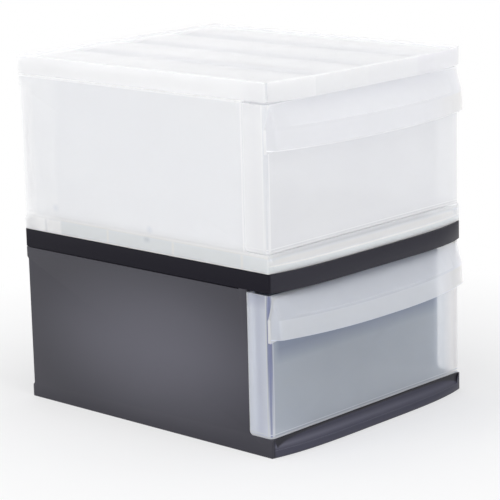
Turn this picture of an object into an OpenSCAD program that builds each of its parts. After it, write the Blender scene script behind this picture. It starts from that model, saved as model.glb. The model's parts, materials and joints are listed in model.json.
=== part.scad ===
// Two stackable drawer boxes, one on the other. Each box is a casing that is open at its front and
// top, a cover that clips over the casing's upstand, and one drawer that slides out of the front.
// X runs along the front, Y from the front to the back, and Z up from the floor. The origin lies on
// the floor, in the middle of the stack's own outline.

/* [Box] */
// Width over the side walls
box_w = 300; // [260:1:360]
// Depth from the flat face of the drawer to the back of the cover
box_d = 347; // [300:1:420]
// Height of one box, from its foot to the top of its cover
box_h = 184.5; // [150:0.5:240]
// Thickness of the casing's walls
wall = 2.2; // [1.8:0.1:3]
// Radius of the upright outer corners
corner_r = 3; // [1:0.5:6]
// Clearance between pieces that slide or clip together
fit = 0.3; // [0.2:0.05:0.5]

/* [Cover] */
// Height of the skirt round the cover
skirt_h = 19; // [16:0.5:26]
// Thickness of the skirt
skirt_t = 2.2; // [1.8:0.1:3]
// Thickness of the top panel
panel_t = 2; // [1.6:0.1:3]
// How far the front edge bows forward at its middle
cover_bow = 12; // [4:0.5:20]
// Open seam between the skirt and the casing's wall
seam = 1; // [0.5:0.1:2]
// Width of the flat rim along the front and the sides
rim_w = 6; // [5:0.5:12]
// Width of the flat band along the back
back_band = 16; // [12:1:40]
// Number of swells that run from the front to the back
swell_count = 4; // [2:1:6]
// Depth of the grooves between the swells
groove_depth = 2.5; // [1:0.1:3.5]
// Thickness of the stiffening rib under each groove
stiffener_t = 1.6; // [1:0.1:3]
// Depth of the stiffening ribs, from the rim down
stiffener_h = 15.5; // [8:0.5:18]
// Distance of the stiffening ribs' rear ends from the back
stiffener_back = 10; // [8:0.5:30]

/* [Clip fit] */
// Thickness of the casing's upstand, which the cover sits on and clips over
upstand_t = 2; // [1.5:0.1:3]
// Number of catches along each side
catch_count = 3; // [1:1:5]
// Length of a catch
catch_w = 14; // [8:1:30]
// Height of a catch
catch_h = 3; // [2:0.5:5]
// How far a catch stands out of the upstand
catch_reach = 0.8; // [0.5:0.1:1.2]

/* [Casing] */
// Height of the hollow foot under the floor
foot_h = 15; // [12:0.5:24]
// Thickness of the floor
floor_t = 3.3; // [2:0.1:5]
// How far the foot's front bows forward at its middle
plinth_bow = 10; // [3:0.5:18]
// Height of the ridge between the foot's upright face and its scooped face
ridge_h = 7.5; // [5:0.5:10]
// Depth of the hollow in the scooped face
scoop_dip = 1; // [0:0.1:2]
// How far in from the sides the scooped face ends, at its top
scoop_end = 2; // [1:0.5:10]
// How much further in it ends at the ridge
scoop_slant = 5; // [0:0.5:10]
// How far the back wall stands in from the back of the foot
back_inset = 4; // [2:0.5:8]
// Height of the foot's upright face at the back
back_foot_h = 11; // [6:0.5:12]
// Height of the flange at the top of the back wall
back_flange_h = 9; // [6:0.5:20]
// How far that flange stands in from the back of the cover
flange_set = 0.5; // [0.3:0.1:1.5]
// Radius in the corner of the cut-away that takes the drawer's front
opening_r = 5; // [2:0.5:8]
// Width of the front post that carries the cover's skirt
post_w = 10; // [6:0.5:20]
// Thickness of the drawer stop along the front post
stop_t = 3; // [2:0.5:6]
// First rib under the floor, behind the drawer's front face
foot_rib_first = 33; // [20:1:60]
// Distance from one foot rib to the next
foot_rib_pitch = 93; // [40:1:140]
// Thickness of the foot ribs
foot_rib_t = 2; // [1.5:0.1:4]
// Clearance under the foot ribs
foot_rib_gap = 1; // [0.5:0.1:3]
// Radius of the drain holes in the floor
drain_r = 4; // [2:0.5:6]
// Distance of the drain holes from the sides
drain_side = 20; // [14:1:60]
// Distance of the rear drain holes from the back
drain_back = 17; // [14:1:60]
// Distance from the front pair of drain holes to the rear pair
drain_pitch = 150; // [60:1:200]

/* [Drawer] */
// Thickness of the drawer's walls
drawer_t = 2; // [1.5:0.1:3]
// Thickness of the drawer's floor
drawer_floor_t = 2; // [1.5:0.1:4]
// Depth of the full-width part at the front
wing_d = 29; // [20:0.5:50]
// Radius of the upright front corners
front_r = 4.5; // [3:0.5:8]
// Space between the tray's sides and the casing's walls
tray_gap = 5.3; // [4:0.1:20]
// Space between the tray's back and the casing's back wall
tray_back_gap = 35.8; // [4:0.1:90]
// Radius of the tray's rear corners
tray_r = 4; // [2.5:0.5:12]
// Gap between the drawer's top edge and the cover
drawer_top_gap = 2.5; // [1:0.1:6]
// Height of the runner ribs under the tray
runner_h = 0.7; // [0.5:0.1:3]
// Width of the runner ribs
runner_w = 4; // [2:0.5:10]
// Distance of the runner ribs from the tray's sides
runner_in = 28; // [10:1:60]
// Height of the stop fins at the tray's rear
fin_h = 90; // [30:1:90]
// Thickness of the stop fins
fin_t = 2.5; // [1.5:0.1:5]
// Distance of the stop fins from the tray's back
fin_back = 19; // [8:1:80]

/* [Pull lip] */
// How far the lip reaches forward at its middle
lip_reach = 29; // [20:0.5:40]
// How far it reaches forward at its ends
lip_end_reach = 9; // [8:0.5:16]
// How far in from the sides its front corners lie
lip_side = 2.8; // [2.5:0.1:8]
// Radius of its front corners
lip_r = 6; // [4:0.1:7]
// Height of the sloping top, down to the crease
lip_slope_h = 21; // [12:0.5:30]
// Height of the upright flange under the crease
lip_flange_h = 22.5; // [14:0.5:40]
// How much less the crease reaches forward than the lower edge
lip_lean = 1.5; // [0:0.1:3]
// How much lower the end walls reach where they meet the drawer
lip_drop = 4; // [0:0.5:8]
// How far below the crease the end walls are rounded off at the top
lip_ear_drop = 4; // [2:0.5:10]
// Thickness of the lip
lip_t = 2; // [1.5:0.1:2.2]

/* [Hidden] */

// Curves and overlaps used only while the solids are made
cover_power = 5;        // how square the cover's bowed front is
plinth_power = 4;       // the same for the foot
lip_power = 2.4;        // and for the lip
bow_steps = 40;         // straight pieces along a bowed front
arc_steps = 6;          // straight pieces round a corner
lip_arc = 4;            // straight pieces round the lip's corners
lip_turn = 30;          // angle at which the lip's front corners run into its slanted ends
root_depth = 0.25;      // how deep the lip's ends are rooted in the drawer's rounded corners
ear_turn = 75;          // how far round those corners the ends reach, in degrees
ear_reach = 0.4;        // how far the ends' outer edges stand in front of the drawer
swell_facets = 720;     // faces of the large cylinders under the swells
eps = 0.5;              // how far a cut runs past a face, or a piece into its neighbour
reach_out = 40;         // how far a side profile runs past the bowed front

// Heights, from the foot of a box
floor_z = foot_h + floor_t;
skirt_z = box_h - skirt_h;
wall_top = skirt_z - seam;
roof_z = box_h - groove_depth - panel_t;
ledge_t = wall;
flange_z = wall_top - back_flange_h;
drawer_z = floor_z + fit + runner_h;
drawer_top = skirt_z - drawer_top_gap;
crease_z = drawer_top - lip_slope_h;
lip_z = crease_z - lip_flange_h;
ear_in = front_r - (front_r - root_depth) * sin(ear_turn);
ear_back = front_r - (front_r - root_depth) * cos(ear_turn);

// Places in plan: x from the middle of the box, y from the drawer's flat front face
half_w = box_w / 2;
inner_w = half_w - wall;
back_y = box_d - back_inset;
opening_y = wing_d + fit;
tray_w = inner_w - tray_gap;
tray_y = back_y - wall - tray_back_gap;
stop_w = inner_w - tray_w - 3 * fit;
upstand_out = skirt_t + fit;
upstand_in = upstand_out + upstand_t;
swell_w = box_w / swell_count;
swell_r = (pow(swell_w / 2, 2) + pow(groove_depth, 2)) / (2 * groove_depth);

// The stack's outline runs from the lip's front to the cover's back, and the origin is in its middle
front_y = (lip_reach - box_d) / 2;

// ---- helpers --------------------------------------------------------------------------------------

function unit(v) = v / norm(v);

// The points of an arc of radius r that rounds the corner p between the points a and b
function corner(a, p, b, r) =
    let (u = unit(a - p), v = unit(b - p), bend = acos(u * v), turn = 180 - bend,
         centre = p + unit(u + v) * r / sin(bend / 2),
         s = unit(p + u * r / tan(bend / 2) - centre),
         e = unit(p + v * r / tan(bend / 2) - centre))
    [for (i = [0:arc_steps]) let (t = i / arc_steps)
        centre + r * (sin((1 - t) * turn) * s + sin(t * turn) * e) / sin(turn)];

// A closed outline with each corner rounded by its own radius; radius 0 leaves the corner sharp
function rounded(pts, radii) =
    let (n = len(pts))
    [for (i = [0:n - 1])
        each radii[i] > 0 ? corner(pts[(i + n - 1) % n], pts[i], pts[(i + 1) % n], radii[i]) : [pts[i]]];

// How far a front bows forward at x: nothing at the sides, bow in the middle
function bow_at(x, bow, power) = bow * (1 - pow(abs(x) / half_w, power));

// The outline of a box in plan, moved in by inset all round, with its bowed front
function plan(bow, power, inset, back, r) =
    let (hw = half_w - inset, rr = max(r - inset, 0))
    concat([for (i = [0:bow_steps]) let (x = hw * (2 * i / bow_steps - 1))
               [x, inset - bow_at(x, bow, power)]],
           rr > 0 ? corner([hw, 0], [hw, back - inset], [-hw, back - inset], rr) : [[hw, back - inset]],
           rr > 0 ? corner([hw, back - inset], [-hw, back - inset], [-hw, 0], rr) : [[-hw, back - inset]]);

// An upright prism of an outline in plan, from z0 to z1
module upright(outline, z0, z1) {
    translate([0, 0, z0])
        linear_extrude(z1 - z0) polygon(outline);
}

// A prism of an outline in the (y, z) plane, from x0 to x1
module across(outline, x0, x1) {
    translate([x0, 0, 0])
        rotate([90, 0, 90])
            linear_extrude(x1 - x0) polygon(outline);
}

// A block between two opposite corners
module block(lo, hi) {
    translate(lo) cube(hi - lo);
}

module both_sides() {
    children();
    mirror([1, 0, 0]) children();
}

// A solid through closed loops of equal length; the first point of each loop sees all its others
module loft(rows) {
    n = len(rows[0]);
    last = (len(rows) - 1) * n;
    sides = [for (i = [0:len(rows) - 2], j = [0:n - 1])
        let (a = i * n + j, b = i * n + (j + 1) % n)
        each [[a, b, b + n], [a, b + n, a + n]]];
    caps = [for (j = [1:n - 2]) each [[0, j + 1, j], [last, last + j, last + j + 1]]];
    polyhedron(points = [for (row = rows) each row], faces = concat(sides, caps));
}

// Puts a box's piece on its level of the stack
module level(n) {
    translate([0, front_y, n * box_h]) children();
}

// ---- cover ----------------------------------------------------------------------------------------

function cover_plan(inset) = plan(cover_bow, cover_power, inset, box_d, corner_r);

// Where the catches lie along a side
function catch_y(k) = opening_y + (k + 0.5) * (box_d - opening_y) / catch_count;

// The long cylinders whose tops are the swells
module swells(r) {
    for (k = [0:swell_count - 1])
        translate([(k + 0.5) * swell_w - half_w, box_d / 2, box_h - swell_r])
            rotate([90, 0, 0])
                cylinder(r = r, h = box_d + 2 * reach_out, center = true, $fn = swell_facets);
}

// The area of the panel, inside the rim and the back band
module panel_area(inset, z0, z1) {
    intersection() {
        upright(cover_plan(rim_w + inset), z0, z1);
        block([-half_w, -reach_out, z0 - eps], [half_w, box_d - back_band - inset, z1 + eps]);
    }
}

module stiffeners() {
    intersection() {
        for (k = [1:swell_count - 1])
            translate([k * swell_w - half_w, 0, 0])
                block([-stiffener_t / 2, -reach_out, box_h - stiffener_h],
                      [stiffener_t / 2, box_d - stiffener_back, roof_z + eps]);
        upright(cover_plan(skirt_t / 2), skirt_z, box_h);
    }
}

// The pockets in the skirt that the catches click into
module catch_pockets() {
    for (k = [0:catch_count - 1])
        both_sides()
            block([half_w - skirt_t - eps, catch_y(k) - catch_w / 2 - fit, roof_z - 2 * catch_h - fit],
                  [half_w - skirt_t + catch_reach, catch_y(k) + catch_w / 2 + fit, roof_z - catch_h + fit]);
}

module cover() {
    difference() {
        upright(cover_plan(0), skirt_z, box_h);
        upright(cover_plan(skirt_t), skirt_z - eps, roof_z);
        difference() {
            panel_area(0, roof_z, box_h + eps);
            swells(swell_r);
        }
        intersection() {
            panel_area(panel_t, roof_z - eps, box_h);
            swells(swell_r - panel_t);
        }
        catch_pockets();
    }
    stiffeners();
}

// ---- casing ---------------------------------------------------------------------------------------

function casing_plan(inset) = plan(plinth_bow, plinth_power, inset, box_d, corner_r);

// The casing seen from its side: the foot, the stepped back wall and the cut-away for the drawer
casing_profile = rounded([
    [-reach_out, 0], [box_d, 0], [box_d, back_foot_h], [back_y, back_foot_h + back_inset],
    [back_y, flange_z - back_inset + flange_set], [box_d - flange_set, flange_z],
    [box_d - flange_set, wall_top], [opening_y, wall_top], [opening_y, floor_z], [-reach_out, floor_z]],
    [0, 0, 0, 0, 0, 0, 0, 0, opening_r, 0]);

// The room inside, above the floor; the back wall keeps its thickness along the slope of its flange
slope_shift = wall * (sqrt(2) - 1);
room_profile = [
    [-reach_out - eps, floor_z], [back_y - wall, floor_z],
    [back_y - wall, flange_z - back_inset + flange_set + slope_shift],
    [box_d - flange_set - wall, flange_z + slope_shift],
    [box_d - flange_set - wall, box_h], [-reach_out - eps, box_h]];

// The hollow under the floor
hollow_profile = [
    [-reach_out - eps, -eps], [box_d - wall, -eps], [box_d - wall, back_foot_h - slope_shift],
    [box_d + back_foot_h - wall * sqrt(2) - foot_h, foot_h], [-reach_out - eps, foot_h]];

// One point of the scooped face: s runs from -1 to 1 along the front, v from 0 at the floor's edge
// to 1 at the ridge
function scoop_point(s, v) =
    let (x = s * (half_w - scoop_end - v * scoop_slant), bow = bow_at(x, plinth_bow, plinth_power),
         drop = floor_z - ridge_h, span = norm([bow, drop]), dip = scoop_dip * 4 * v * (1 - v))
    [x, -bow * v + dip * drop / span, floor_z - drop * v - dip * bow / span];

// What the scooped face cuts off the foot's front
module scoop_cut() {
    over = 0.2;
    steps = 6;
    loft([for (i = [0:bow_steps]) let (s = 2 * i / bow_steps - 1, end = scoop_point(s, 1))
        concat([[end[0], -reach_out, floor_z + reach_out]],
               [for (j = [0:steps]) scoop_point(s, -over + j * (1 + 2 * over) / steps)])]);
}

module foot_ribs() {
    last = box_d - wall - foot_rib_t;
    for (y = [foot_rib_first:foot_rib_pitch:last])
        block([-inner_w - eps, y, foot_rib_gap], [inner_w + eps, y + foot_rib_t, foot_h + eps]);
}

// A band that follows the sides and the back, between two insets, behind the drawer's front
module band(outer, inner, z0, z1) {
    difference() {
        upright(cover_plan(outer), z0, z1);
        upright(cover_plan(inner), z0 - eps, z1 + eps);
        block([-box_w, -reach_out, z0 - eps], [box_w, opening_y, z1 + eps]);
    }
}

// The ledge that the walls end in, and the upstand that the cover goes over
module cover_seat() {
    intersection() {
        band(0, upstand_in, wall_top - ledge_t, wall_top);
        block([-half_w, 0, 0], [half_w, box_d - flange_set, box_h]);
    }
    band(upstand_out, upstand_in, wall_top - ledge_t, roof_z);
    for (k = [0:catch_count - 1])
        both_sides()
            block([half_w - upstand_in, catch_y(k) - catch_w / 2, roof_z - 2 * catch_h],
                  [half_w - upstand_out + catch_reach, catch_y(k) + catch_w / 2, roof_z - catch_h]);
}

// The front posts reach up to the skirt, and the drawer stops stand along them
module posts() {
    both_sides() {
        block([inner_w, opening_y, wall_top - eps], [half_w, opening_y + post_w, skirt_z]);
        block([inner_w - stop_w, opening_y, floor_z - eps], [inner_w + eps, opening_y + stop_t, wall_top]);
    }
}

module drains() {
    rear = box_d - drain_back;
    for (y = [rear - drain_pitch, rear])
        both_sides()
            translate([half_w - drain_side, y, foot_h - eps])
                cylinder(r = drain_r, h = floor_t + 2 * eps, $fn = 48);
}

module casing() {
    difference() {
        intersection() {
            upright(casing_plan(0), 0, wall_top);
            across(casing_profile, -half_w, half_w);
        }
        across(room_profile, -inner_w, inner_w);
        difference() {
            intersection() {
                upright(casing_plan(wall), -eps, foot_h);
                across(hollow_profile, -inner_w, inner_w);
            }
            translate([0, wall, -wall]) scoop_cut();
        }
        scoop_cut();
        drains();
    }
    foot_ribs();
    cover_seat();
    posts();
}

// ---- drawer ---------------------------------------------------------------------------------------

// The full-width front part of the drawer, moved in by inset on its sides and by rise at its floor
module front_box(inset, rise, top) {
    r = front_r - inset;
    low_r = opening_r - fit - inset;
    hw = half_w - inset;
    intersection() {
        upright(rounded([[-hw, inset], [hw, inset], [hw, wing_d - inset], [-hw, wing_d - inset]],
                        [r, r, 0, 0]), drawer_z + rise, top);
        across(rounded([[inset, drawer_z + rise], [wing_d - inset, drawer_z + rise],
                        [wing_d - inset, top], [inset, top]], [0, low_r, 0, 0]), -hw, hw);
    }
}

// The narrower tray behind it
module tray_box(inset, rise, top) {
    hw = tray_w - inset;
    r = tray_r - inset;
    upright(rounded([[-hw, wing_d / 2], [hw, wing_d / 2], [hw, tray_y - inset], [-hw, tray_y - inset]],
                    [0, 0, r, r]), drawer_z + rise, top);
}

// How far the lip stands forward at x
function lip_at(x) = lip_end_reach
    + (lip_reach - lip_end_reach) * (1 - pow(abs(x) / (half_w - lip_side), lip_power));

// The lip's loop at x, moved in by t from its skin. The angle a runs through the rounded corners of
// the lip, up to 90 along the bow, and the corners' tops lie further in than their feet.
function lip_row(x, a, t) =
    let (b = lip_at(x) - t - lip_r * (1 - sin(a)), c = b - lip_lean,
         rise = lip_slope_h / (c + t), top = drawer_top - t * norm([1, rise]),
         low = lip_z - (t == 0 ? 0 : eps), back = drawer_t / 2 + t,
         in = x - sign(x) * cos(a) * lip_r / 4)
    [[x, -c, top - rise * c], [in, 0, top], [in, back, top], [x, back, top - rise * c],
     [x, back, low], [x, -b, low]];

// The outer loop of an end, which is rooted in the drawer's rounded corner; s is its side
function lip_ear(s, t) =
    let (x = s * (half_w - ear_in - t), front = t - ear_reach, heel = ear_back + t / 2,
         high = crease_z - lip_ear_drop - t, low = lip_z - (t == 0 ? lip_drop : eps))
    [[x, front, high], [x, front + eps, high + eps], [x, heel - eps, high + eps], [x, heel, high],
     [x, heel, low], [x, front, low]];

// All loops, from one end to the other: an end, a rounded corner, the bow, and the same again
function lip_rows(t) =
    let (end = half_w - lip_side - t, angles = [for (i = [0:lip_arc]) lip_turn + (90 - lip_turn) * i / lip_arc])
    concat([lip_ear(-1, t)], [for (a = angles) lip_row(lip_r * (1 - cos(a)) - end, a, t)],
           [for (i = [1:bow_steps - 1]) lip_row((end - lip_r) * (2 * i / bow_steps - 1), 90, t)],
           [for (i = [lip_arc:-1:0]) lip_row(end - lip_r * (1 - cos(angles[i])), angles[i], t)],
           [lip_ear(1, t)]);

module pull_lip() {
    difference() {
        loft(lip_rows(0));
        loft(lip_rows(lip_t));
    }
}

module runners() {
    both_sides()
        block([tray_w - runner_in - runner_w, wing_d, drawer_z - runner_h],
              [tray_w - runner_in, tray_y - tray_r, drawer_z + drawer_floor_t / 2]);
}

// Fins at the rear that meet the casing's stops when the drawer is fully out
module stop_fins() {
    top = wall_top - ledge_t - 2 * fit;
    both_sides()
        block([tray_w - drawer_t / 2, tray_y - fin_back, top - fin_h],
              [inner_w - 3 * fit, tray_y - fin_back + fin_t, top]);
}

module drawer() {
    difference() {
        union() {
            front_box(0, 0, drawer_top);
            tray_box(0, 0, drawer_top);
        }
        front_box(drawer_t, drawer_floor_t, drawer_top + eps);
        tray_box(drawer_t, drawer_floor_t, drawer_top + eps);
    }
    pull_lip();
    runners();
    stop_fins();
}

// ---- the stack ------------------------------------------------------------------------------------

anthracite = "#3c3b43";
milky = "#eceef1";
frosted = "#c3c9d4";

module lower_casing() { color(anthracite) level(0) casing(); }
module lower_cover() { color(anthracite) level(0) cover(); }
module lower_drawer() { color(frosted) level(0) drawer(); }
module upper_casing() { color(milky) level(1) casing(); }
module upper_cover() { color(milky) level(1) cover(); }
module upper_drawer() { color(milky) level(1) drawer(); }

lower_casing();
lower_cover();
lower_drawer();
upper_casing();
upper_cover();
upper_drawer();
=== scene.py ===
# %% [markdown]
# # A stack of two drawer boxes
#
# The real object is two moulded boxes, one on the other. The lower casing and its cover are
# anthracite, its drawer is frosted, and the whole upper box is milky. Nothing on them is metal or
# cloth, so the looks come from three things: how much light each plastic lets through, how its
# satin skin spreads a highlight, and the thin bright lines where light leaves a moulded edge.
# The shapes are the solids of the CAD model, and this lesson dresses them.

# %% Load the frame
import json
import math

import bmesh
import bpy
import numpy as np
from mathutils import Matrix, Vector

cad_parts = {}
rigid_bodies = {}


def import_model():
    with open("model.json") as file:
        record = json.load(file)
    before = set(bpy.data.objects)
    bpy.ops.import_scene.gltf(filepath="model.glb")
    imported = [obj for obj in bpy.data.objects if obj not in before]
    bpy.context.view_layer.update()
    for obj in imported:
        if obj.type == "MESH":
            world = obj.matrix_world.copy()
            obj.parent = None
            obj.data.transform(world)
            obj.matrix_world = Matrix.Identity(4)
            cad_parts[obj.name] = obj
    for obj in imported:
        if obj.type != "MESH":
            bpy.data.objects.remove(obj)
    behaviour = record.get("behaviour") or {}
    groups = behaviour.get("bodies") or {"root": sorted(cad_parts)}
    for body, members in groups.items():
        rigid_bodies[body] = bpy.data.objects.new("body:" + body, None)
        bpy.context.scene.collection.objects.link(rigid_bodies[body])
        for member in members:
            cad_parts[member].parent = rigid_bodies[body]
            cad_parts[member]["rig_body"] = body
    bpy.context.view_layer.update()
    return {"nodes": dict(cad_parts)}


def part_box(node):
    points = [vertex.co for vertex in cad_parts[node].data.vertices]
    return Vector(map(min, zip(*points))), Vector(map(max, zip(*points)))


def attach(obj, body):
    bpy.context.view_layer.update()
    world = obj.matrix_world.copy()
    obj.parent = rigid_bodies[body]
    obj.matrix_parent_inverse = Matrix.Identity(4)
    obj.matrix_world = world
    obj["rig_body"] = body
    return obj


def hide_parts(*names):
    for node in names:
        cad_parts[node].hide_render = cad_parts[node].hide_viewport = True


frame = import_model()
for name in sorted(frame["nodes"]):
    low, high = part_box(name)
    print(name, "from", [round(v, 4) for v in low], "to", [round(v, 4) for v in high])

# %% [markdown]
# ## The camera
#
# A long lens from the left and a little above keeps the boxes' uprights almost parallel, which is
# how such goods are shown. Its place is given by two angles round the stack and a distance, so it
# is easy to read back: the camera's own axes are worked out from the angles and set as a matrix.

# %% Camera
def camera_axes(around, above, tilt):
    """Unit vectors right, up and back of a camera that stands at the angle around, measured from
    the front, and at the angle above the floor, and is turned by tilt about its own line of sight.
    Back is (sin a cos e, -cos a cos e, sin e); right is across it in the floor's plane; then right
    and up turn together by the tilt."""
    a, e, r = np.radians([around, above, tilt])
    back = np.array([np.sin(a) * np.cos(e), -np.cos(a) * np.cos(e), np.sin(e)])
    level = np.cross([0.0, 0.0, 1.0], back)
    level /= np.linalg.norm(level)
    upright = np.cross(back, level)
    return (np.cos(r) * level + np.sin(r) * upright,
            np.cos(r) * upright - np.sin(r) * level, back)


def place_camera(aim, around, above, tilt, distance, lens):
    """A camera at aim + distance times its back vector, which looks along the opposite one."""
    right, up, back = camera_axes(around, above, tilt)
    data = bpy.data.cameras.new("portrait")
    data.lens, data.sensor_width, data.sensor_fit = lens, 36.0, "HORIZONTAL"
    data.clip_start, data.clip_end = 0.05, 60.0
    camera = bpy.data.objects.new("portrait", data)
    bpy.context.scene.collection.objects.link(camera)
    pose = Matrix(np.column_stack([right, up, back]).tolist()).to_4x4()
    pose.translation = Vector(np.array(aim) + distance * back)
    camera.matrix_world = pose
    bpy.context.scene.camera = camera
    return camera


camera = place_camera(aim=(-0.0029, 0.0, 0.1590), around=-47.217, above=13.105, tilt=-1.426,
                      distance=2.293, lens=156.8)
print("camera at", [round(v, 3) for v in camera.matrix_world.translation])

# %% [markdown]
# ## Writing shader maths as sums
#
# A node tree soon becomes unreadable, so three small classes keep it short. A `Field` is a number
# that varies over a surface: adding, multiplying or subtracting fields adds Math nodes. A `Finish`
# is the tree of one material, or of the world, and its method `node` makes any other node from its
# type, its settings and the values or links of its sockets. What it gives back is a `Made`, which
# hands on the node's outputs.

# %% Fields
class Field:
    """A number that varies over a surface, as a node's output; its sums are Math nodes."""

    def __init__(self, finish, socket):
        self.finish, self.socket = finish, socket

    def __add__(self, other):
        return self.finish.math("ADD", self, other)

    def __sub__(self, other):
        return self.finish.math("SUBTRACT", self, other)

    def __rsub__(self, other):
        return self.finish.math("SUBTRACT", other, self)

    def __mul__(self, other):
        return self.finish.math("MULTIPLY", self, other)

    def __pow__(self, other):
        return self.finish.math("POWER", self, other)

    __radd__, __rmul__ = __add__, __mul__

    def within(self, low, high):
        """The field, held between two values."""
        return self.finish.math("MINIMUM", self.finish.math("MAXIMUM", self, low), high)

    def rise(self, low, high):
        """0 up to low and 1 from high on, with a straight slope between them."""
        return ((self - low) * (1.0 / (high - low))).within(0.0, 1.0)

    def fall(self, low, high):
        """1 up to low and 0 from high on, with a straight slope between them."""
        return ((high - self) * (1.0 / (high - low))).within(0.0, 1.0)

    def between(self, low, high, soft):
        """1 between two limits and 0 outside, with edges as wide as soft."""
        return (((self - low) * (1.0 / soft) + 0.5).within(0.0, 1.0)
                * ((high - self) * (1.0 / soft) + 0.5).within(0.0, 1.0))


# %% Finishes
class Made:
    """A node that has been made, and a short way to its outputs."""

    def __init__(self, finish, node):
        self.finish, self.made = finish, node

    def out(self, key=0):
        return self.made.outputs[key]

    def field(self, key=0):
        return Field(self.finish, self.made.outputs[key])


class Finish:
    """The node tree of a new material, or of a new block of another kind, such as a world."""

    def __init__(self, name, kind=bpy.data.materials):
        self.block = kind.new(name)
        self.block.use_nodes = True
        self.tree = self.block.node_tree
        self.tree.nodes.clear()

    def node(self, kind, settings=None, sockets=None):
        """A node of the kind: its settings are made first, then its sockets' values and links."""
        made = self.tree.nodes.new(kind)
        for key, value in (settings or {}).items():
            setattr(made, key, value)
        for key, value in (sockets or {}).items():
            if isinstance(value, Field):
                value = value.socket
            if isinstance(value, bpy.types.NodeSocket):
                self.tree.links.new(value, made.inputs[key])
            else:
                made.inputs[key].default_value = value
        return Made(self, made)

    def math(self, operation, *values):
        """The result of one Math node, as a field."""
        return self.node("ShaderNodeMath", {"operation": operation},
                         dict(enumerate(values))).field()

    def length(self, vector):
        """How long a vector is, as a field."""
        return self.node("ShaderNodeVectorMath", {"operation": "LENGTH"},
                         {0: vector}).field("Value")

    def place(self):
        """Where a point lies on the object, in metres."""
        return self.node("ShaderNodeTexCoord").out("Object")

    def noise(self, scale, detail=2.0, stretch=(1.0, 1.0, 1.0)):
        """Smooth noise of so many waves a metre, from 0 to 1, about 0.5 on average."""
        where = self.node("ShaderNodeMapping", {}, {"Vector": self.place(), "Scale": stretch}).out()
        return self.node("ShaderNodeTexNoise", {}, {
            "Vector": where, "Scale": scale, "Detail": detail, "Roughness": 0.55}).field("Fac")

    def blend(self, share, first, second):
        """A colour between two colours, by the share of the second."""
        made = self.node("ShaderNodeMix", {"data_type": "RGBA"}, {0: share, 6: first, 7: second})
        return made.out(2)

    def bump(self, height, depth):
        """The normal of a surface whose height varies, with depth in metres for a height of 1."""
        return self.node("ShaderNodeBump", {}, {"Height": height, "Distance": depth}).out()

    def end(self, surface, output="ShaderNodeOutputMaterial"):
        """Ends the tree in its output, and gives back the material or the world."""
        self.node(output, {}, {"Surface": surface})
        print("finish", self.block.name, "has", len(self.tree.nodes), "nodes")
        return self.block


WHITE = (1.0, 1.0, 1.0, 1.0)
PLASTIC_IOR = 1.49      # how strongly polypropylene bends light


def solid(colour, times=1.0):
    """A colour with its alpha, scaled by times and held at white."""
    return tuple(min(1.0, times * c) for c in colour) + (1.0,)


# %% [markdown]
# ## Where the walls are thicker or thinner
#
# Where another wall, a rib or a floor joins behind a face, cloudy plastic is thicker and so whiter,
# and where a wall bends or thins it is clearer. Each such place is a zone: a block between planes,
# with its own share of scattering and its own tint. A few zones stand for soft light or shade that
# such a place carries in a bright room. The planes are given in millimetres from the middle, the
# drawer's face and the foot of a box, so that both boxes can use the same numbers.

# %% Places on a box
BOX_H = 0.1845          # height of one box, in metres like the next four
FRONT_Y = -0.159        # the flat face of the drawers
CORNER_X, CORNER_Y = 0.1455, FRONT_Y + 0.0045   # axis of the drawers' rounded corners
COVER_BOW = 0.012       # how far the covers bow forward
HALF_W = 0.15           # half the width of a box

AHEAD, FAR = -60.0, 1000.0      # before and beyond any part, in millimetres from here on
BASE = -1.0                     # just under the foot
OUT = 151.0                     # just outside the side walls
FOOT = (BASE, 15.0)             # heights of the hollow foot
RIBS = (33.0, 126.0, 219.0, 312.0)              # how far back its four ribs stand
HOLES = ((159.0, 23.0), (297.0, 28.0))          # the drain holes: how far back, how high
LIP_FRONT, LIP_HEIGHTS = (AHEAD, -0.6), (116.0, 163.5)
PAST_BEND = (4.54, FAR, 0.06)   # reach of what stands out from a drawer's rounded corner


def zone(level, share, tint, soft=0.4, **limits):
    """A block between planes, in millimetres: x from the middle, or its size when it is called
    side; y from the drawer's face; z from the foot of its box; turn, which is side plus y and runs
    round the drawer's corners; and reach, the distance from those corners' axis. Its edges are as
    wide as soft, or as a limit's third value."""
    base = {"y": FRONT_Y, "z": level * BOX_H, "turn": FRONT_Y}
    planes = []
    for axis, (low, high, *own) in limits.items():
        start = base.get(axis, 0.0)
        width = (own or [soft])[0]
        planes.append((axis, start + low / 1000.0, start + high / 1000.0, width / 1000.0))
    return {"share": share, "tint": tint, "planes": planes}


MILKY = (0.905, 0.915, 0.955)
FROST = (0.70, 0.77, 1.0)
PALE = (0.95, 0.955, 0.98)      # where plastic is doubled
MIST = (0.86, 0.905, 1.0)       # where it is thin and the dark beneath shows


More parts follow.
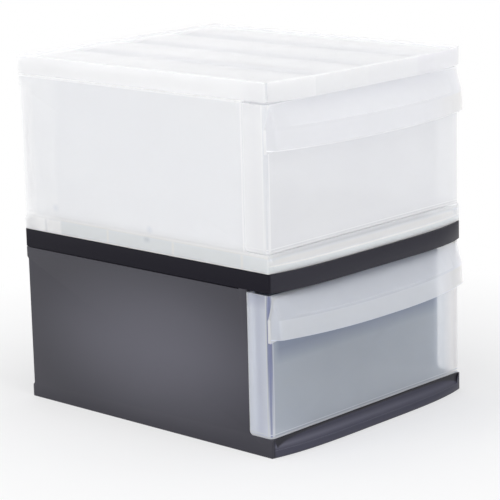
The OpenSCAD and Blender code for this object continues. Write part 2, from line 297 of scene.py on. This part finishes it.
# %% Zones of a casing
def casing_zones(level):
    """Foot, ribs, drain holes, floor, posts, back wall and ledge, seen through the outer walls,
    painted light on the top above the ledge, and the scooped front of the foot: dim under the
    drawer, pale down to its ridge, which carries a painted highlight, thin below."""
    front, wall = {"y": (AHEAD, -0.4)}, {"side": (148.0, OUT)}
    return [
        zone(level, 0.83, MIST, z=FOOT),
        zone(level, 0.92, (0.975, 0.975, 0.985), y=(290.0, 312.0), z=FOOT, soft=3.0),
        zone(level, 0.96, (0.99, 0.985, 0.985), y=(312.0, 348.0), z=FOOT),
    ] + [
        zone(level, 0.83, (0.925, 0.94, 0.985), y=(y - 0.5, y + 2.5), z=FOOT, soft=2.2)
        for y in RIBS
    ] + [
        zone(level, 0.62, (0.70, 0.76, 0.90), **wall, y=(y - 3.0, y + 3.0), z=(z - 2.0, z + 2.0),
             soft=6.0) for y, z in HOLES
    ] + [
        zone(level, 0.74, (0.74, 0.79, 0.90), **wall, y=(160.0, 167.0), z=(10.0, 14.5), soft=4.0),
        zone(level, 0.83, (0.94, 0.95, 0.985), z=(15.0, 18.0), soft=1.8),
        zone(level, 0.78, PALE, y=(29.8, 32.0), z=(18.0, 166.0), soft=1.0),
        zone(level, 0.84, (0.96, 0.965, 0.99), y=(330.0, 348.0), z=(BASE, 156.0), soft=12.0),
        zone(level, 0.80, PALE, z=(162.6, 164.2), soft=0.8),
        # painted light: the top above the ledge, white where the gap under the cover lies in shade
        zone(level, 0.98, (1.0, 1.0, 1.0), z=(164.3, FAR)),
        zone(level, 0.66, (0.80, 0.815, 0.86), z=(14.5, 30.0), soft=3.0, **front),
        zone(level, 0.84, PALE, z=(8.0, 13.5), soft=3.0, **front),
        zone(level, 0.88, MIST, z=(BASE, 7.4), soft=0.6, **front),
        # painted highlight along the foot's ridge
        zone(level, 0.95, PALE, z=(6.9, 8.0), soft=0.8, **front),
        zone(level, 0.92, PALE, z=(BASE, 1.3), soft=0.8),
    ]


# %% Zones of a cover
def cover_zones(level):
    """The skirt's front, palest at its left end and darker in steps towards its right, a darker
    line at its left corner, the panel's crests with their painted highlight, brightest towards the
    back, and the flat band behind them."""
    front = {"y": (AHEAD, -0.3), "z": (160.0, FAR)}
    return [
        zone(level, 0.84, (0.975, 0.975, 1.0), x=(-160.0, -88.7), soft=1.0, **front),
        zone(level, 0.79, (0.91, 0.91, 0.945), x=(-10.9, 66.0), soft=1.0, **front),
        zone(level, 0.79, (0.885, 0.88, 0.915), x=(66.0, 160.0), soft=3.0, **front),
        zone(level, 0.70, (0.86, 0.88, 0.93), x=(-149.4, -146.6), soft=1.0, **front),
        # painted highlight on the panel's crests, brightest towards the back
        zone(level, 0.87, (0.975, 0.975, 0.995), y=(170.0, 400.0, 180.0), z=(183.4, FAR, 0.8),
             side=(0.0, 143.0)),
        zone(level, 0.77, (0.89, 0.89, 0.935), y=(331.5, 360.0), z=(182.0, FAR)),
    ]


# %% Zones of a drawer
def bluer(tint, loss):
    """A tint with less red and green, by a share, and its blue as it was."""
    red, green, blue = tint
    return ((1.0 - loss) * red, (1.0 - loss) * green, blue)


def drawer_zones(level, wing, lip, bend, line, inner, strip, end, shade):
    """The wings, the bend between face and wing with the lines beside it, the lip, the joins of the
    tray, the wings' inner faces, the strip of the face beyond the tray and the lip's ends. All but
    the level and the shade are pairs of share and tint; shade is how much clearer and darker the
    painted shade makes the lip's slope, sides and right end and the wings' tops, and how much
    clearer and bluer a band across the wings is."""
    wing_share, wing_tint = wing
    lip_share, lip_tint = lip
    corner = {"side": (145.0, OUT), "y": (-0.4, 5.4)}
    ear = {"side": (145.5, 160.0), "y": (AHEAD, 4.4), "reach": PAST_BEND, "z": LIP_HEIGHTS}
    dim = tuple((1.0 - 1.2 * shade) * c for c in lip_tint)
    warm_lip_shade = tuple(dim[0] * c for c in (1.0, 0.985, 0.965))
    return [
        zone(level, *wing, side=(147.6, OUT)),
        zone(level, *inner, side=(147.0, 148.6)),
        zone(level, wing_share - 0.8 * shade, bluer(wing_tint, 1.3 * shade),
             side=(149.3, OUT), y=(9.0, 19.0, 10.0)),
        # painted shade on the wings' tops, under the cover
        zone(level, wing_share - 3.0 * shade, bluer(wing_tint, 2.0 * shade),
             side=(149.3, OUT), z=(155.0, 170.0, 14.0)),
        zone(level, *line, turn=(144.0, 155.4), soft=1.0, **corner),
        zone(level, *bend, turn=(148.6, 151.6), soft=1.0, **corner),
        zone(level, *bend, turn=(146.4, 153.6), z=(60.0, 170.0, 70.0), soft=1.0, **corner),
        zone(level, *strip, x=(132.0, 160.0, 20.0), y=(-0.6, 6.0), z=(20.0, 164.0)),
        zone(level, *line, z=(19.3, 21.3), soft=0.6),
        zone(level, *line, z=(23.0, 23.8), soft=0.6),
        zone(level, *line, side=(147.6, OUT), y=(27.6, 29.2), soft=0.6),
        zone(level, *lip, y=LIP_FRONT),
        # painted shade towards the lip's right end, a little warmer
        zone(level, lip_share - 0.7 * shade, warm_lip_shade, x=(100.0, 170.0, 60.0), y=LIP_FRONT),
        zone(level, *lip, **ear),
        # painted shade on the lip's slope and its sides
        zone(level, lip_share - shade, dim, y=LIP_FRONT, z=(139.0, 164.0), soft=1.0),
        zone(level, lip_share - shade - 0.01, dim, y=(AHEAD, -0.5), side=(144.5, 149.2),
             z=(116.0, 152.0), soft=1.5),
        zone(level, *end, side=(149.35, 160.0, 0.3), y=(AHEAD, 4.4), z=LIP_HEIGHTS,
             reach=PAST_BEND),
        zone(level, *line, y=LIP_FRONT, z=(119.0, 120.2), soft=0.5),
    ]


# %% [markdown]
# ## Milky and frosted polypropylene
#
# Unpigmented polypropylene is cloudy: most of the light that enters a wall two millimetres thick
# leaves it scattered, and a small share goes straight through, so that ribs and floors behind the
# wall still show as faint tones. Glass with a rough skin could do that, but it is slow and grainy.
# Here the outer side of each face is a mix of a skin that scatters light inside the wall and a
# clear one, and from inside the plastic every face is clear, so that a wall dims what is behind it
# once and not twice. A cloudy wall blurs a picture far more than it holds back light, so shadows
# see it clearer than the eye does. The cloudiness drifts a little, as it does where the melt has
# flowed, and a very fine grain from the mould softens the highlight.

# %% Translucent finishes
DRIFT = 0.06            # how far the share of scattering drifts with the flow
FLOW_DARK, FLOW_PALE = 0.97, 1.02       # the colour's drift with the flow
GROOVES = (0.3663, 0.3690)      # heights of the upper cover's lowest groove and highest crest
GROOVE_SHADE_LOSS, GROOVE_SHADE_DIM = 0.09, 0.91    # painted shade in a groove's bottom: how much clearer and darker
PANEL_X, PANEL_Y = 0.1445, (0.0055, 0.332)      # the panel's half width, and its two ends


def coordinates(f):
    """A point's x, y and z as fields; side, its distance from the middle plane; turn, which is
    side + y and runs round the drawers' corners; and reach, its distance from those corners' axis,
    which is the root of (side - corner x)^2 + (y - corner y)^2."""
    xyz = f.node("ShaderNodeSeparateXYZ", {}, {0: f.place()})
    along = {axis: xyz.field(axis.upper()) for axis in "xyz"}
    along["side"] = f.math("ABSOLUTE", along["x"])
    along["turn"] = along["side"] + along["y"]
    out, ahead = along["side"] - CORNER_X, along["y"] - CORNER_Y
    along["reach"] = (out * out + ahead * ahead) ** 0.5
    return along


def groove_shade(along, low, high):
    """How much painted shade a point of the cover's panel takes: 1 deep in a groove, at the height
    low, 0 at high, and 0 on the rim and the skirt. The panel begins a rim's width behind the bowed
    front, which lies at y = face - bow (1 - (side / half width)^5)."""
    behind = along["y"] - FRONT_Y + (1.0 - (along["side"] * (1.0 / HALF_W)) ** 5.0) * COVER_BOW
    hollow = along["z"].fall(low, high) * along["z"].between(low - 0.001, high + 0.001, 0.0004)
    return (hollow * along["side"].between(-1.0, PANEL_X, 0.0004)
            * behind.between(*PANEL_Y, 0.0006))


def translucent(name, colour, body, depth, rough, zones=(), grooves=None, light=0.6):
    """A cloudy plastic: a share, body, of each face scatters and the rest is clear. What is
    scattered travels through the wall for about depth, in metres, before it leaves again. Zones
    change share and tint in turn. Grooves is a pair of heights, bottom and top, between which the
    panel inside the cover's rim carries painted shade, clearer and darker at the bottom and fading
    to its own look at the top. Light is the part of the share that lets lamps' light straight
    through."""
    f = Finish(name)
    flow = f.noise(9.0, 2.0, (1.0, 0.35, 1.0))
    speck = f.noise(420.0, 3.0)
    grain = f.noise(1500.0, 2.0)
    paint = f.blend(flow.within(0.0, 1.0), solid(colour, FLOW_DARK), solid(colour, FLOW_PALE))
    share = body + (flow - 0.5) * DRIFT
    along = coordinates(f)
    for each in zones:
        here = None
        for axis, low, high, soft in each["planes"]:
            part = along[axis].between(low, high, soft)
            here = part if here is None else here * part
        share = share + (each["share"] - share) * here
        paint = f.blend(here, paint, solid(each["tint"]))
    # painted shade in the cover's grooves
    if grooves:
        hollow = groove_shade(along, *grooves)
        share = share - hollow * GROOVE_SHADE_LOSS
        paint = f.blend(hollow, paint, solid(colour, GROOVE_SHADE_DIM))
    skin = f.node("ShaderNodeBsdfPrincipled", {}, {
        "Base Color": paint, "Roughness": (rough + (speck - 0.5) * 0.12).within(0.1, 0.9),
        "IOR": PLASTIC_IOR, "Normal": f.bump(grain * 0.5 + speck * 0.5, 0.00002),
        "Subsurface Weight": 1.0, "Subsurface Scale": depth,
        "Subsurface Radius": (1.0, 1.0, 1.0)}).out()
    clear = f.node("ShaderNodeBsdfTransparent", {}, {"Color": WHITE}).out()
    outside = 1.0 - f.node("ShaderNodeNewGeometry").field("Backfacing")
    veil = 1.0 - f.node("ShaderNodeLightPath").field("Is Shadow Ray") * light
    print(name, "has", len(zones), "zones")
    return f.end(f.node("ShaderNodeMixShader", {}, {
        0: share.within(0.0, 1.0) * outside * veil, 1: clear, 2: skin}).out())


# %% The milky plastics of the upper box
milky_casing = translucent("milky_casing", MILKY, 0.74, 0.004, 0.34, casing_zones(1))
milky_cover = translucent("milky_cover", (0.93, 0.935, 0.965), 0.79, 0.004, 0.30, cover_zones(1),
                          grooves=GROOVES, light=0.75)
milky_drawer = translucent("milky_drawer", (0.893, 0.900, 0.942), 0.72, 0.004, 0.34, drawer_zones(
    1, wing=(0.80, (0.93, 0.93, 0.965)), lip=(0.67, (0.85, 0.855, 0.885)),
    bend=(0.72, (0.86, 0.88, 0.94)), line=(0.82, PALE), inner=(0.78, MILKY), strip=(0.74, MILKY),
    end=(0.75, (0.92, 0.925, 0.95)), shade=0.01))
milky_edge = translucent("milky_edge", (0.95, 0.955, 0.975), 0.84, 0.004, 0.48, [
    zone(1, 0.80, (0.92, 0.925, 0.95), side=(148.5, OUT), y=(3.0, 350.0), z=(183.0, FAR)),
    zone(1, 0.76, (0.89, 0.90, 0.94), side=(148.5, OUT), y=(-2.0, 1.5), z=(165.0, 183.5))])

# %% The frosted plastic of the lower drawer
face_shadow = zone(0, 0.42, (0.58, 0.66, 0.90), x=(-141.0, 112.0, 10.0), y=(-0.6, 3.0),
                   z=(100.0, 130.0, 16.0))      # the top of the face, which the lip keeps in shade
frosted = translucent("frosted_wall", FROST, 0.52, 0.005, 0.34, drawer_zones(
    0, wing=(0.73, (0.75, 0.79, 1.0)), lip=(0.64, (0.87, 0.90, 0.985)),
    bend=(0.42, (0.52, 0.56, 0.88)), line=(0.70, (0.80, 0.84, 0.97)),
    inner=(0.30, (0.98, 0.97, 0.96)), strip=(0.82, (1.0, 0.965, 0.935)), end=(0.74, PALE),
    shade=0.055) + [face_shadow])
frosted_edge = translucent("frosted_edge", (0.90, 0.92, 0.98), 0.78, 0.004, 0.3)

# %% [markdown]
# ## Anthracite
#
# The dark plastic is opaque and satin. Its skin comes from an evenly etched mould: the bump is far
# finer than a millimetre and only breaks up the highlight. Broader, fainter drifts in roughness
# keep the big side wall from looking like a painted board.
#
# In a bright room that wall carries a broad, soft sheen, the scooped front of the foot mirrors the
# room in long streaks with a cool cast, and some light falls through the frosted wings onto the
# walls beside them. Large lamps could make all that, but they would wash out the milky box as well.
# Here
# they are painted: the skin's colour is a little lighter in those places, and on the lower cover's
# whole bowed front, so they stay where they are from every side.

# %% Painted sheen, painted reflections and lit inner faces
SHEEN_SQUASH = 0.47             # the painted sheen's height over its length
SHEEN_BASE, SHEEN_PEAK = 0.26, 0.76     # share of the painted sheen far away, and what the middle adds
PAINTED_LIGHT_TINT = (0.12, 0.119, 0.14)         # what full painted light adds to the colour
FOOT_REFLECTION_TINT = (0.05, 0.055, 0.20)         # a painted cool reflection on the foot's front
LIT_FACE = (0.75, 0.76, 0.85)           # what light through a frosted wing makes of a wall
REFLECTION_STREAKS = (                     # painted reflections under the drawer: bottom, top, softness in metres, strength
    (0.0090, 0.0130, 0.0035, 0.60), (0.0071, 0.0078, 0.0006, 0.65), (0.0, 0.0070, 0.0006, 0.18))
REFLECTION_BASE = 0.14              # the painted light between the streaks
REFLECTION_MIDDLE, REFLECTION_LOSS = 0.84, 2.8  # their strength in the middle, and its loss a metre


def painted_sheen(f, along, painted_light, middle, reach):
    """A painted sheen on the side walls' outer faces, lightest at middle, a place (y, z). With r
    the distance from it over reach, squashed in height, it is base + peak (1 - r^2)^2 of its
    strength."""
    height = SHEEN_SQUASH * reach
    r = f.length(f.node("ShaderNodeMapping", {}, {
        "Vector": f.place(), "Location": (0.0, -middle[0] / reach, -middle[1] / height),
        "Scale": (0.0, 1.0 / reach, 1.0 / height)}).out())
    share = (SHEEN_BASE + ((1.0 - r * r).within(0.0, 1.0) ** 2.0) * SHEEN_PEAK) * painted_light
    return share * along["side"].between(0.148, 1.0, 0.0005)


def painted_reflections(along):
    """Painted reflections in streaks along the foot's front, with a little painted light between
    them.
    """
    total = None
    for low, high, soft, strength in REFLECTION_STREAKS:
        streak = along["z"].between(low, high, soft) * strength
        total = streak if total is None else total + streak
    return total + REFLECTION_BASE


def lit_inside(along):
    """The side walls' inner faces beside the drawer's wings, which fade out 30 to 50 mm behind
    the drawer's face."""
    fade = along["y"].fall(FRONT_Y + 0.030, FRONT_Y + 0.050) ** 2.0
    return (fade * along["side"].between(0.146, 0.1495, 0.0005)
            * along["z"].between(0.0185, 0.163, 0.001))


# %% Dark finishes
def anthracite(name, colour, rough, gloss, painted_light=0.0, middle=(0.0, 0.0), reach=1.0, face=0.0):
    """An opaque satin plastic: nearly black, with etched grain and slow drifts in its gloss, and
    with the painted sheen, the painted reflection streaks and the painted light on the inner faces
    of a casing where their strength is more than 0. The streaks are strongest at the left. Face is
    the strength of a painted sheen over a whole bowed front."""
    f = Finish(name)
    drift = f.noise(7.0, 2.0, (1.0, 0.5, 1.0))
    grain = f.noise(1800.0, 3.0)
    along = coordinates(f)
    front = along["y"].between(-0.3, FRONT_Y - 0.0008, 0.0006)
    strength = REFLECTION_MIDDLE - along["x"] * REFLECTION_LOSS
    # painted reflections on the foot's front, and painted sheen over a whole bowed front
    streaks = painted_reflections(along) * front * painted_light * strength + front * face
    # the painted sheen on the side walls, or the painted reflections where they are lighter
    most = f.math("MAXIMUM", painted_sheen(f, along, painted_light, middle, reach), streaks)
    painted_share = (most * (0.8 + drift * 0.4)).within(0.0, 1.0)
    paint = f.blend(painted_share, solid(colour),
                    solid([c + more for c, more in zip(colour, PAINTED_LIGHT_TINT)]))
    # a painted cool reflection on the foot's front
    paint = f.blend(front * (painted_light * 0.12), paint, solid(FOOT_REFLECTION_TINT))
    paint = f.blend(lit_inside(along) * (painted_light * 0.4), paint, solid(LIT_FACE))
    satin = (rough + (drift - 0.5) * 0.08 + (grain - 0.5) * 0.1).within(0.1, 0.9)
    return f.end(f.node("ShaderNodeBsdfPrincipled", {}, {
        "Base Color": paint, "Roughness": satin, "IOR": PLASTIC_IOR, "Specular IOR Level": gloss,
        "Normal": f.bump(grain, 0.00005)}).out())


# painted sheen about the side wall's middle and painted reflections on the foot's front
dark_casing = anthracite("anthracite_casing", (0.011, 0.0100, 0.0175), 0.44, 0.36, painted_light=0.85,
                         middle=(0.0, 0.085), reach=0.21)
# a painted sheen over the cover's whole bowed front
dark_cover = anthracite("anthracite_cover", (0.0105, 0.0096, 0.0155), 0.42, 0.10, face=0.20)
dark_edge = anthracite("anthracite_edge", (0.020, 0.019, 0.028), 0.36, 0.3)

# %% [markdown]
# ## Softened shells
#
# A moulded edge is never sharp: it has a radius of about half a millimetre, and that radius is what
# catches the light. The CAD solids have sharp edges, so each shell here is a copy of its solid with
# the doubled vertices merged, flat neighbours joined into one face, and a narrow bevel round every
# edge that turns by more than thirty degrees. The bevel's own faces take the edge finish.

# %% Copy, merge and round
DOUBLED = 1e-6                  # vertices nearer to each other than this are one, in metres
FLAT = math.radians(0.3)        # faces that turn by less are one face
SHARP = math.radians(30)        # edges that turn by more are rounded


def softened(node, radius, wall_finish, edge_finish):
    """A copy of the CAD node whose edges are rounded by radius, in metres, in place of the node."""
    source = frame["nodes"][node]
    mesh = bpy.data.meshes.new(node + "_shell")
    work = bmesh.new()
    work.from_mesh(source.data)
    loose = len(work.verts)
    bmesh.ops.remove_doubles(work, verts=work.verts, dist=DOUBLED)
    bmesh.ops.dissolve_limit(work, angle_limit=FLAT, verts=work.verts, edges=work.edges)
    for face in work.faces:
        face.smooth = True
        face.material_index = 0
    open_edges = sum(not edge.is_manifold for edge in work.edges)
    work.to_mesh(mesh)
    print(node, loose, "loose vertices became", len(work.verts), "with", open_edges, "open edges")
    work.free()
    shell = bpy.data.objects.new(node + "_shell", mesh)
    bpy.context.scene.collection.objects.link(shell)
    mesh.materials.append(wall_finish)
    mesh.materials.append(edge_finish)
    bevel = shell.modifiers.new("moulded edges", "BEVEL")
    bevel.width, bevel.segments, bevel.material = radius, 2, 1
    bevel.limit_method, bevel.angle_limit = "ANGLE", SHARP
    bevel.harden_normals = True
    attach(shell, source["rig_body"])
    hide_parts(node)


# %% The six shells
softened("lower_casing", 0.0006, dark_casing, dark_edge)
softened("lower_cover", 0.0006, dark_cover, dark_edge)
softened("lower_drawer", 0.0005, frosted, frosted_edge)
softened("upper_casing", 0.0005, milky_casing, milky_edge)
softened("upper_cover", 0.0006, milky_cover, milky_edge)
softened("upper_drawer", 0.0005, milky_drawer, milky_edge)

# %% [markdown]
# ## Floor and light
#
# The boxes stand on a pale sweep in a bright room. The floor is an ordinary matt surface that takes
# the boxes' shadow. To the camera and to reflections it adds a little of its own white, so that it
# runs into the white of the world without a horizon, while the light on the boxes stays plain.

# %% Floor
def seen_directly(f):
    """1 for rays from the camera, from mirrors and through glass, and 0 for scattered light."""
    path = f.node("ShaderNodeLightPath")
    return f.math("MAXIMUM", path.field("Is Camera Ray"), f.math(
        "MAXIMUM", path.field("Is Glossy Ray"), path.field("Is Transmission Ray")))


def floor_finish(albedo, lift, near, far):
    """Matt near the boxes, where it shows their shadow, with a small lift of white; from near to
    far, two distances from the middle, it passes into plain white."""
    f = Finish("pale_floor")
    fleck = f.noise(40.0, 2.0)
    grey, cool = (albedo, albedo, albedo, 1.0), (albedo * 0.99, albedo * 0.99, albedo, 1.0)
    matt = f.node("ShaderNodeBsdfDiffuse", {}, {
        "Color": f.blend(fleck.within(0.0, 1.0), grey, cool)}).out()
    share = f.length(f.place()).rise(near, far) * (1.0 - lift) + lift
    white = f.node("ShaderNodeEmission", {}, {"Strength": 1.0}).out()
    return f.end(f.node("ShaderNodeMixShader", {}, {
        0: seen_directly(f) * share, 1: matt, 2: white}).out())


def disc(name, radius, rings, spokes):
    """A flat round floor: points at r (cos t, sin t), with r growing as the square of the ring."""
    t = np.linspace(0.0, 2.0 * np.pi, spokes, endpoint=False)
    r = radius * (np.arange(1, rings + 1) / rings) ** 2
    ring = np.stack([np.outer(r, np.cos(t)), np.outer(r, np.sin(t)), np.zeros((rings, spokes))], -1)
    points = np.vstack([[[0.0, 0.0, 0.0]], ring.reshape(-1, 3)])
    i, j = np.meshgrid(np.arange(rings - 1), np.arange(spokes), indexing="ij")
    a, b = 1 + i * spokes + j, 1 + i * spokes + (j + 1) % spokes
    quads = np.stack([a, a + spokes, b + spokes, b], -1).reshape(-1, 4)
    first = np.arange(spokes)
    fan = np.stack([np.zeros(spokes, int), 1 + first, 1 + (first + 1) % spokes], -1)
    mesh = bpy.data.meshes.new(name)
    mesh.from_pydata(points.tolist(), [], fan.tolist() + quads.tolist())
    floor = bpy.data.objects.new(name, mesh)
    bpy.context.scene.collection.objects.link(floor)
    print(name, "has", len(points), "points and", len(fan) + len(quads), "faces")
    return floor


floor = disc("floor", 14.0, 12, 96)
floor.data.materials.append(floor_finish(0.88, 0.48, near=0.26, far=0.60))
floor.location.z = -0.0002      # just under the feet, so that no two faces coincide

# %% World
HORIZON, OVERHEAD = 0.1, 0.75   # heights of a direction between which the room's light changes


def bright_room(low, high, light):
    """A world whose light goes from low at the horizon to high overhead. The height of a direction
    is its z, from 0 to 1. It is plain white wherever the camera looks at it."""
    f = Finish("bright room", bpy.data.worlds)
    height = f.node("ShaderNodeSeparateXYZ", {}, {
        0: f.node("ShaderNodeTexCoord").out("Generated")}).field("Z")
    up = height.rise(HORIZON, OVERHEAD)
    room = f.node("ShaderNodeBackground", {}, {
        "Color": light, "Strength": up * (high - low) + low}).out()
    white = f.node("ShaderNodeBackground", {}, {"Color": WHITE, "Strength": 1.0}).out()
    mixed = f.node("ShaderNodeMixShader", {}, {0: seen_directly(f), 1: room, 2: white}).out()
    return f.end(mixed, "ShaderNodeOutputWorld")


bpy.context.scene.world = bright_room(1.10, 0.50, (0.98, 0.985, 1.0, 1.0))

# %% Lamps
def lamp(name, place, aim, size, watts):
    """A soft lamp of the given width and height, in metres, at place and pointing at aim."""
    data = bpy.data.lights.new(name, "AREA")
    data.shape, data.size, data.size_y = "RECTANGLE", size[0], size[1]
    data.energy = watts
    light = bpy.data.objects.new(name, data)
    back = Vector(place) - Vector(aim)
    light.location = place
    light.rotation_euler = back.to_track_quat("Z", "Y").to_euler()
    bpy.context.scene.collection.objects.link(light)
    white = watts / (math.pi ** 2 * back.length ** 2)
    print(name, "adds", round(white, 3), "of white, face on")


lamp("top_lamp", (-0.2, 0.3, 2.2), (0.0, 0.0, 0.2), (1.4, 1.4), 8.0)
lamp("side_lamp", (-1.5, 0.5, 1.3), (-0.15, 0.0, 0.12), (0.8, 0.8), 7.0)
lamp("front_lamp", (-0.2, -1.5, 1.8), (0.0, -0.15, 0.15), (0.9, 0.7), 10.0)

# %% [markdown]
# ## The end
#
# The dressed object must fill the same box as the solids do. The view transform is the plain one.

# %% Finish
bpy.context.scene.view_settings.view_transform = "Standard"
